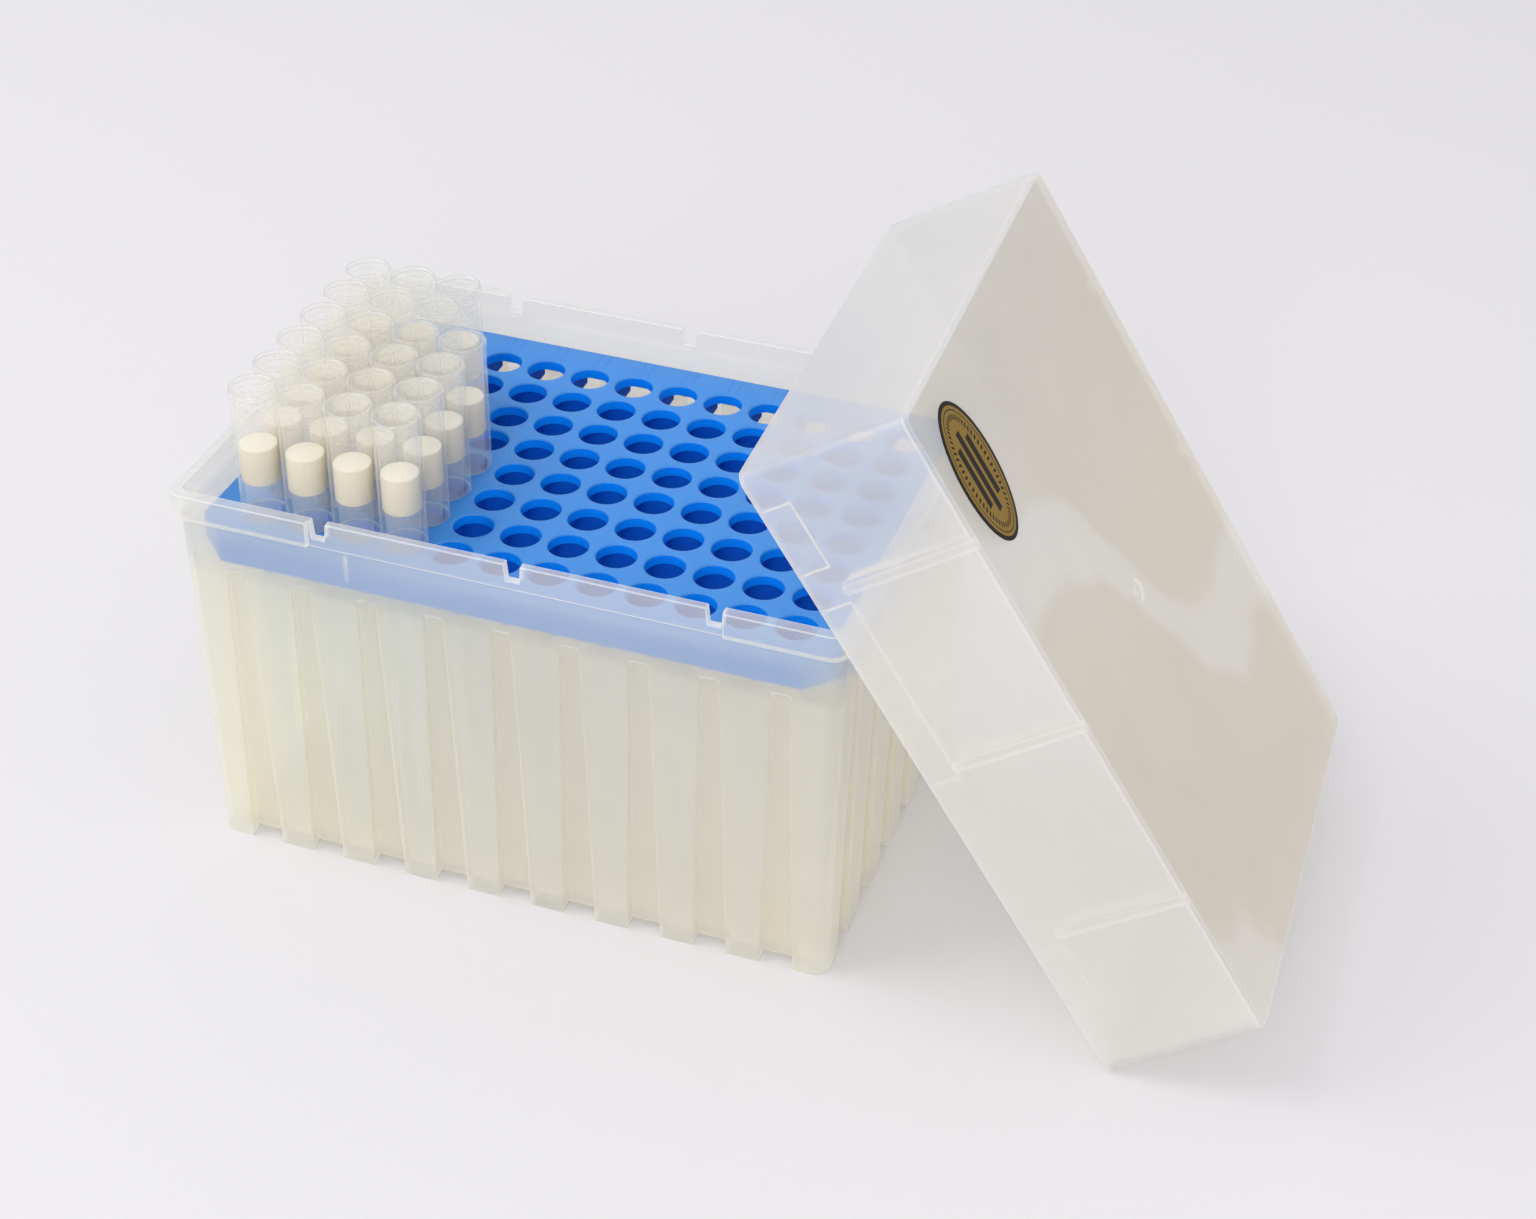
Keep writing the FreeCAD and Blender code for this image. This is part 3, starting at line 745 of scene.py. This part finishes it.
def make_mesh(bm, name, materials, sharp):
    bmesh.ops.recalc_face_normals(bm, faces=bm.faces)
    sharpen(bm, sharp)
    mesh = bpy.data.meshes.new(name)
    bm.to_mesh(mesh)
    bm.free()
    for material in materials:
        mesh.materials.append(material)
    return mesh


def place_piece(mesh, name, nodes, place=None):
    piece = bpy.data.objects.new(name, mesh)
    bpy.context.scene.collection.objects.link(piece)
    if place is not None:
        piece.matrix_world = place
    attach(piece, "root")
    if nodes:
        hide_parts(*nodes)
    return piece


def circle_angles(steps):
    return [2 * math.pi * k / steps for k in range(steps)]


def points(bm, spots):
    return [bm.verts.new([c * MM for c in spot]) for spot in spots]


def oval(bm, half_x, half_y, height, steps):
    """One ring of points round the Z axis."""
    return [
        bm.verts.new((half_x * MM * math.cos(a), half_y * MM * math.sin(a), height * MM))
        for a in circle_angles(steps)
    ]


def skin(bm, rings, materials=None):
    """Quads from each ring of points to the next, with one material for each pair of rings."""
    for level, (lower, upper) in enumerate(zip(rings, rings[1:])):
        for k in range(len(lower)):
            after = (k + 1) % len(lower)
            face = bm.faces.new((lower[k], lower[after], upper[after], upper[k]))
            face.material_index = materials[level] if materials else 0


def prism(bm, corners, z0, z1, material):
    """Closed upright prism; its corners run anticlockwise seen from above."""
    low, high = [points(bm, [(x, y, z) for x, y in corners]) for z in (z0, z1)]
    faces = [bm.faces.new(low[::-1]), bm.faces.new(high)]
    for k in range(len(corners)):
        after = (k + 1) % len(corners)
        faces.append(bm.faces.new((low[k], low[after], high[after], high[k])))
    for face in faces:
        face.material_index = material


def bar(bm, x0, x1, y0, y1, z0, z1, material):
    prism(bm, ((x0, y0), (x1, y0), (x1, y1), (x0, y1)), z0, z1, material)


# ---------------------------------------------------------------- tub and lid

def refined(node, name, materials, rounding, choose):
    """A node's body with its edges rounded, and a material chosen for each of its faces."""
    bm = bmesh.new()
    bm.from_mesh(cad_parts[node].data)
    bmesh.ops.remove_doubles(bm, verts=bm.verts, dist=SAME_POINT * MM)
    bmesh.ops.dissolve_limit(bm, angle_limit=SAME_PLANE, verts=bm.verts, edges=bm.edges)
    for face in bm.faces:
        half_round = sum(edge.calc_length() for edge in face.edges) / 2
        face.material_index = choose(face, face.calc_area() / half_round / MM)
    weight = bm.edges.layers.float.new("bevel_weight_edge")
    for edge in bm.edges:
        if edge.calc_face_angle(0.0) > CORNER:
            edge[weight] = min(1.0, ROUNDING_SHARE * side_room(edge) / (rounding * MM))
    mesh = make_mesh(rounded(bm, name, materials, rounding), name, materials, SHARP)
    piece = place_piece(mesh, name, [node])
    even = piece.modifiers.new("even_shading", "WEIGHTED_NORMAL")
    even.keep_sharp = True
    even.weight = EVEN_SHADING_WEIGHT


def rounded(bm, name, materials, width):
    """The same body after a bevel of its weighted edges, whose faces are fine lines."""
    whole = bpy.data.meshes.new(name + "_whole")
    bm.to_mesh(whole)
    bm.free()
    for material in materials:
        whole.materials.append(material)
    body = bpy.data.objects.new(name + "_whole", whole)
    bpy.context.scene.collection.objects.link(body)
    rounding = body.modifiers.new("rounding", "BEVEL")
    rounding.width = width * MM
    rounding.limit_method = "WEIGHT"
    rounding.segments = 2
    rounding.material = LINE
    rounding.use_clamp_overlap = False
    ready = body.evaluated_get(bpy.context.evaluated_depsgraph_get())
    result = bmesh.new()
    result.from_mesh(ready.to_mesh())
    bpy.data.objects.remove(body)
    bmesh.ops.remove_doubles(result, verts=result.verts, dist=SAME_ROUNDED_POINT * MM)
    return result


def side_room(edge):
    """Length of the shortest edge that leaves either end of this one sideways."""
    run = (edge.verts[1].co - edge.verts[0].co).normalized()
    room = 1.0
    for vert in edge.verts:
        for other in vert.link_edges:
            if other is not edge:
                across = (other.other_vert(vert).co - vert.co).normalized()
                if abs(across.dot(run)) < SIDEWAYS_COSINE:
                    room = min(room, other.calc_length())
    return room


def stands_alone(face, narrow):
    """Not one of the strips that make up a rounded corner."""
    long_edges = [edge for edge in face.edges if edge.calc_length() > narrow * MM]
    return bool(long_edges) and all(edge.calc_face_angle(0.0) > CORNER for edge in long_edges)


def tub_material(face, width):
    """Fine line, narrow face, floor of a flute or broad face."""
    if width < LINE_WIDTH and stands_alone(face, LINE_WIDTH):
        return LINE
    if width < TUB_NARROW and stands_alone(face, TUB_NARROW):
        return NARROW
    if width > TUB_NARROW and FLUTE_LEAN[0] < abs(face.normal.z) < FLUTE_LEAN[1]:
        return OWN
    return BROAD


def lid_material(face, width):
    """Fine line, strip beside the top or rim of the mouth, flat top or broad face."""
    spot = LID_PLACE.inverted() @ face.calc_center_median() / MM
    tilt = face.normal.dot(LID_PLACE.to_3x3() @ Vector((0, 0, 1)))
    if width < LINE_WIDTH and stands_alone(face, LINE_WIDTH):
        return LINE
    if width < LID_NARROW:
        beside_top = any(low < tilt < high for low, high in LID_EDGE_TILTS)
        return NARROW if tilt < LID_MOUTH_TILT or beside_top else BROAD
    return OWN if tilt > LID_TOP_TILT and spot.z > LID_DEPTH - LID_TOP_DROP else BROAD


def lid_pad_lines():
    """Fine raised outlines of the low pads beside the lid's mouth, inside its long walls."""
    bm = bmesh.new()
    near, far = LID_PAD_FACE - LID_LINE_PROUD, LID_PAD_FACE + LID_LINE_PROUD
    top = LID_PAD_HEIGHT - LID_LINE_WIDTH
    for side in (-1, 1):
        y0, y1 = sorted((side * near, side * far))
        for x0, x1 in LID_PADS:
            in0, in1 = x0 + LID_LINE_WIDTH, x1 - LID_LINE_WIDTH
            bar(bm, x0, in0, y0, y1, LID_LINE_FOOT, LID_PAD_HEIGHT, 0)
            bar(bm, in1, x1, y0, y1, LID_LINE_FOOT, LID_PAD_HEIGHT, 0)
            bar(bm, in0, in1, y0, y1, top, LID_PAD_HEIGHT, 0)
    mesh = make_mesh(bm, "lid_pad_lines", [LID_LINE], SHARP)
    place_piece(mesh, "lid_pad_lines", [], LID_PLACE)


# ---------------------------------------------------------------- tips and filters

# What a point of the tip's outline is: whether the fins stand on it, and whether the face from it
# to the next point is one of the tip's fine lines
PLAIN, FINNED, LINED = (False, False), (True, False), (False, True)


def tip_outline():
    """Points of the tip's wall as (radius, height, what it is), up its outside and down its bore."""
    lip = TIP_TOP - TIP_LIP_HEIGHT
    inset, drop = TIP_LIP_ROUNDING
    outside = [
        (TIP_END_RADIUS, TIP_END, PLAIN),
        (TIP_SHAFT, 0.0, PLAIN),
        (TIP_RADIUS - TIP_ROUNDING, 0.0, LINED),
        (TIP_RADIUS, TIP_ROUNDING, FINNED),
        (TIP_RADIUS, TIP_FIN_TOP, FINNED),
        (TIP_RADIUS, TIP_FIN_TOP + TIP_FIN_RUNOUT, PLAIN),
        (TIP_RADIUS, lip - TIP_ROUNDING, LINED),
        (TIP_LIP, lip, PLAIN),
        (TIP_LIP, TIP_TOP - drop, PLAIN),
        (TIP_LIP - inset, TIP_TOP, LINED),
    ]
    mouth = [
        (TIP_BORE + TIP_MOUTH, TIP_TOP, PLAIN),
        (TIP_BORE + TIP_MOUTH_ROUNDING, TIP_TOP - TIP_MOUTH_ROUNDING, PLAIN),
        (TIP_BORE, lip, PLAIN),
    ]
    rings = []
    for height in TIP_RINGS:
        rings += [
            (TIP_BORE, height + TIP_RING_FOOT, PLAIN),
            (TIP_BORE - TIP_RING_PROUD, height + TIP_RING_HALF, LINED),
            (TIP_BORE - TIP_RING_PROUD, height - TIP_RING_HALF, PLAIN),
            (TIP_BORE, height - TIP_RING_FOOT, PLAIN),
        ]
    seat = [(TIP_BORE, TIP_SEAT, PLAIN), (TIP_SEAT_BORE, TIP_SEAT, PLAIN)]
    return outside + mouth + rings + seat + [(TIP_ORIFICE, TIP_END, PLAIN)]


def from_fin(angle):
    """How far an angle is from the middle of the nearest fin."""
    step = 2 * math.pi / TIP_FINS
    offset = (angle - step * 0.5 / TIP_STEPS_PER_FIN) % step
    return min(offset, step - offset)


def tip_angles():
    """Even steps round the tip; at each fin they make way for its two feet and its two edges."""
    even = circle_angles(TIP_FINS * TIP_STEPS_PER_FIN)
    angles = [a for a in even if from_fin(a) > TIP_FIN_ROOM * TIP_FIN_HALF]
    for fin in range(TIP_FINS):
        middle = 2 * math.pi * (fin + 0.5 / TIP_STEPS_PER_FIN) / TIP_FINS
        angles += [middle + share * TIP_FIN_HALF for share in TIP_FIN_POINTS]
    return sorted(angles)


def tip_mesh():
    bm = bmesh.new()
    outline = tip_outline()
    angles = tip_angles()
    rings = []
    for radius, height, (finned, _) in outline:
        spots = []
        for angle in angles:
            on_fin = finned and from_fin(angle) < TIP_FIN_END * TIP_FIN_HALF
            reach = radius + (TIP_FIN_PROUD if on_fin else 0.0)
            spots.append((reach * math.cos(angle), reach * math.sin(angle), height))
        rings.append(points(bm, spots))
    skin(bm, rings + rings[:1], [int(lined) for _, _, (_, lined) in outline])
    return make_mesh(bm, "tip", [TIP_PLASTIC, TIP_SHADED_LINE], SHARP_TIP)


def filter_mesh():
    bm = bmesh.new()
    middle = FILTER_EDGE * ROUND_MIDDLE
    lower = [(FILTER_EDGE, 0.0), (middle, middle), (0.0, FILTER_EDGE)]
    upper = [(inset, FILTER_LENGTH - height) for inset, height in reversed(lower)]
    rings = []
    for inset, height in lower + upper:
        radius = FILTER_RADIUS - inset
        rings.append(oval(bm, radius, radius, height, FILTER_SEGMENTS))
    skin(bm, rings)
    bm.faces.new(rings[0][::-1])
    bm.faces.new(rings[-1])
    return make_mesh(bm, "filter", [FILTER_FOAM], SHARP_ROUNDED)


def tips_and_filters(rest_z):
    tip, foam = tip_mesh(), filter_mesh()
    numbers = sorted(name[4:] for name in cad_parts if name.startswith("tip_"))
    for count, number in enumerate(numbers):
        low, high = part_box("tip_" + number)
        middle = (low + high) / 2
        turn = Matrix.Rotation(count * TIP_TURN, 4, "Z")
        seat = Matrix.Translation((middle.x, middle.y, rest_z))
        place_piece(tip, "clear_tip_" + number, ["tip_" + number], seat @ turn)
        raised = Matrix.Translation((middle.x, middle.y, rest_z + TIP_SEAT * MM))
        place_piece(
            foam, "tip_filter_" + number, ["filter_" + number], raised @ turn
        )


# ---------------------------------------------------------------- deck

GRID_X, GRID_Y = HOLE_COLUMNS * HOLE_PITCH / 2, HOLE_ROWS * HOLE_PITCH / 2


def along_grid(index, count):
    """Middle of a column or row of holes; half an index more is the border to the next one."""
    return (index - (count - 1) / 2) * HOLE_PITCH


def deck_cells(bm, top, under):
    """A square of the plate round each hole: its top, the hole's rim and wall, its underside."""
    angles = circle_angles(HOLE_SEGMENTS)
    rim = [math.radians(degrees) for degrees in HOLE_RIM_DEGREES]
    circles = [
        (HOLE_RADIUS + HOLE_ROUNDING * (1 - math.sin(a)), top - HOLE_ROUNDING * (1 - math.cos(a)))
        for a in rim
    ]
    circles.append((HOLE_RADIUS, under))
    materials = [PLATE] * len(rim) + [INSIDE, INSIDE]

    def square(x, y, z):
        spots = []
        for a in angles:
            reach = HOLE_PITCH / 2 / max(abs(math.cos(a)), abs(math.sin(a)))
            spots.append((x + reach * math.cos(a), y + reach * math.sin(a), z))
        return spots

    for column in range(HOLE_COLUMNS):
        for row in range(HOLE_ROWS):
            x, y = along_grid(column, HOLE_COLUMNS), along_grid(row, HOLE_ROWS)
            loops = [square(x, y, top)]
            for r, z in circles:
                loops.append([(x + r * math.cos(a), y + r * math.sin(a), z) for a in angles])
            loops.append(square(x, y, under))
            skin(bm, [points(bm, loop) for loop in loops], materials)


def border(count):
    """Where the cells of one row have their points along its border."""
    half = HOLE_SEGMENTS // 8
    shares = [math.tan(math.pi / 4 * k / half) / 2 for k in range(-half, half)]
    places = []
    for cell in range(count):
        places += [along_grid(cell, count) + share * HOLE_PITCH for share in shares]
    return places + [count * HOLE_PITCH / 2]


def deck_loop(half_x, half_y, cut, z):
    """Closed loop with cut corners; along each side its points keep step with the cells'."""
    along_x = [p * (half_x - cut) / GRID_X for p in border(HOLE_COLUMNS)]
    along_y = [p * (half_y - cut) / GRID_Y for p in border(HOLE_ROWS)]
    spots = [(p, -half_y, z) for p in along_x]
    spots += [(half_x, p, z) for p in along_y]
    spots += [(-p, half_y, z) for p in along_x]
    spots += [(-half_x, -p, z) for p in along_y]
    return spots


def deck_surround(bm, half_x, half_y, top, under):
    """The plate beyond the cells, its rounded edge and the skirt."""
    foot = top - DECK_SKIRT_DEPTH
    middle = DECK_EDGE * ROUND_MIDDLE

    def skirt(inset, z):
        cut = DECK_CORNER_CUT - inset * (2 - math.sqrt(2))
        return deck_loop(half_x - inset, half_y - inset, cut, z)

    loops = [deck_loop(GRID_X, GRID_Y, 0.0, top)]
    loops += [skirt(DECK_EDGE, top), skirt(middle, top - middle), skirt(0, top - DECK_EDGE)]
    loops += [skirt(0, foot), skirt(DECK_SKIRT_WALL, foot), skirt(DECK_SKIRT_WALL, under)]
    loops += [deck_loop(GRID_X, GRID_Y, 0.0, under)]
    skin(bm, [points(bm, loop) for loop in loops])


def deck_ribs(bm, half_x, half_y, foot, under):
    """Ribs on the borders between the holes. They end inside the plate and the skirt, and those
    along the deck end a little higher, so that no two faces lie in one plane."""
    inner_x = half_x - DECK_SKIRT_WALL + DECK_RIB_SUNK
    inner_y = half_y - DECK_SKIRT_WALL + DECK_RIB_SUNK
    top = under + DECK_RIB_SUNK
    half = DECK_RIB / 2
    for index in range(1, HOLE_COLUMNS):
        x = along_grid(index - 0.5, HOLE_COLUMNS)
        bar(bm, x - half, x + half, -inner_y, inner_y, foot, top, UNDER)
    for index in range(1, HOLE_ROWS):
        y = along_grid(index - 0.5, HOLE_ROWS)
        bar(bm, -inner_x, inner_x, y - half, y + half, foot + DECK_RIB_STEP, top, UNDER)


def deck_lines(bm, half_y, top):
    y0, y1 = GRID_Y - DECK_LINE_ENDS, half_y - DECK_LINE_ENDS
    for column in range(HOLE_COLUMNS):
        for side in (-1, 1):
            x = along_grid(column, HOLE_COLUMNS) + side * DECK_LINE_OFF
            x0, x1 = x - DECK_LINE_HALF, x + DECK_LINE_HALF
            bar(bm, x0, x1, y0, y1, top - DECK_LINE_SUNK, top + DECK_LINE_PROUD, PLATE)


def deck(low, high):
    """Plate with rounded holes, skirt, the ribs underneath and the mould lines on top."""
    bm = bmesh.new()
    half_x, half_y, top = high.x / MM, high.y / MM, high.z / MM
    under = top - DECK_PLATE
    deck_cells(bm, top, under)
    deck_surround(bm, half_x, half_y, top, under)
    bmesh.ops.remove_doubles(bm, verts=bm.verts, dist=SAME_POINT * MM)
    bmesh.ops.dissolve_degenerate(bm, edges=bm.edges, dist=NO_LENGTH * MM)
    deck_ribs(bm, half_x, half_y, low.z / MM, under)
    deck_lines(bm, half_y, top)
    mesh = make_mesh(bm, "blue_deck", [DECK_BLUE_AND_SHEEN, DECK_PAINTED_GLOW, DECK_PAINTED_SHADE], SHARP_ROUNDED)
    place_piece(mesh, "blue_deck", ["rack_deck"])


# ---------------------------------------------------------------- label

def label():
    """Oval foil label: gold field, dark border, thin inner line and plain printed marks."""
    bm = bmesh.new()
    top = LABEL_THICKNESS
    edge_inset, edge_drop = LABEL_EDGE
    levels = [(0.0, 0.0), (0.0, top - edge_drop), (edge_inset, top), (LABEL_BORDER, top)]
    levels += [(LABEL_LINE_INSET, top), (LABEL_LINE_INSET + LABEL_LINE, top)]
    gold, ink = 0, 1
    rings = []
    for inset, height in levels:
        half_x, half_y = (half - inset for half in LABEL_HALF)
        rings.append(oval(bm, half_x, half_y, height, LABEL_SEGMENTS))
    skin(bm, rings, [ink, ink, ink, gold, ink])
    bm.faces.new(rings[0][::-1]).material_index = ink
    bm.faces.new(rings[-1]).material_index = gold
    print_marks(bm, top, ink)
    x, y = LABEL_PLACE[0] - LID_HALF_LENGTH, LABEL_PLACE[1] - LID_HALF_WIDTH
    at_label = LID_PLACE @ Matrix.Translation((x * MM, y * MM, LID_DEPTH * MM))
    mesh = make_mesh(bm, "oval_label", [LABEL_GOLD, LABEL_INK], SHARP)
    place_piece(mesh, "oval_label", ["lid_label"], at_label)


def print_marks(bm, height, ink):
    """Three plain dark bars and a ring of short ticks, printed on the field in place of wording."""
    top = height + LABEL_PRINT
    for middle, half in LABEL_BARS:
        bar(bm, -half, half, middle - LABEL_BAR_HALF, middle + LABEL_BAR_HALF, height, top, ink)
    outer, inner = LABEL_TICK_INSET
    step = 2 * math.pi / LABEL_TICKS
    for k in range(LABEL_TICKS):
        corners = []
        for inset, side in ((inner, -1), (outer, -1), (outer, 1), (inner, 1)):
            a, b = (half - inset for half in LABEL_HALF)
            angle = step * (k + 0.5 + side * LABEL_TICK_HALF)
            corners.append((a * math.cos(angle), b * math.sin(angle)))
        prism(bm, corners, height, top, ink)


# ---------------------------------------------------------------- stage, lights and camera

def studio():
    bm = bmesh.new()
    bmesh.ops.create_grid(bm, x_segments=1, y_segments=1, size=FLOOR_HALF * MM)
    mesh = bpy.data.meshes.new("floor")
    bm.to_mesh(mesh)
    bm.free()
    floor = bpy.data.objects.new("floor", mesh)
    bpy.context.scene.collection.objects.link(floor)
    surface = Surface("studio_paper")
    paper = surface.add("ShaderNodeBsdfDiffuse")
    paper.inputs["Color"].default_value = FLOOR_SHADE
    mesh.materials.append(surface.show(paper.outputs[0]))

    world = bpy.data.worlds.new("studio")
    bpy.context.scene.world = world
    world.use_nodes = True
    sky = world.node_tree.nodes["Background"]
    sky.inputs["Color"].default_value = SKY_SHADE
    sky.inputs["Strength"].default_value = SKY_STRENGTH


def softbox(name, place, aim, size, power):
    light = bpy.data.lights.new(name, "AREA")
    light.shape = "SQUARE"
    light.size = size * MM
    light.energy = power
    lamp = bpy.data.objects.new(name, light)
    bpy.context.scene.collection.objects.link(lamp)
    lamp.location = Vector(place) * MM
    lamp.rotation_euler = (Vector(aim) - Vector(place)).to_track_quat("-Z", "Y").to_euler()


def camera():
    data = bpy.data.cameras.new("camera")
    data.sensor_width = CAMERA_SENSOR
    data.lens = CAMERA_LENS
    data.clip_start = CAMERA_NEAR * MM
    data.clip_end = CAMERA_FAR * MM
    view = bpy.data.objects.new("camera", data)
    bpy.context.scene.collection.objects.link(view)
    aim = Euler((math.radians(90 - CAMERA_ELEVATION), 0, math.radians(CAMERA_AZIMUTH)))
    roll = Matrix.Rotation(math.radians(CAMERA_ROLL), 4, "Z")
    stand = Matrix.Translation(Vector(CAMERA_PLACE) * MM)
    view.matrix_world = stand @ aim.to_matrix().to_4x4() @ roll
    bpy.context.scene.camera = view


# ---------------------------------------------------------------- the whole scene

studio()
for box in SOFTBOXES:
    softbox(*box)
camera()
tub_plastics = [TUB_PLASTIC, TUB_LINE, TUB_EDGE, TUB_FLUTE]
lid_plastics = [LID_PLASTIC, LID_LINE, LID_EDGE, LID_TOP]
refined("tub", "ribbed_tub", tub_plastics, TUB_ROUNDING, tub_material)
refined("lid", "leaning_lid", lid_plastics, LID_ROUNDING, lid_material)
lid_pad_lines()
label()
deck_low, deck_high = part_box("rack_deck")
deck(deck_low, deck_high)
tips_and_filters(deck_high.z)

# Light crosses many clear walls on its way through the tips and the lid
scene = bpy.context.scene
scene.view_settings.view_transform = "Standard"
scene.cycles.max_bounces = 24
scene.cycles.transmission_bounces = 24
scene.cycles.diffuse_bounces = 20
scene.cycles.glossy_bounces = 6
scene.cycles.transparent_max_bounces = 96
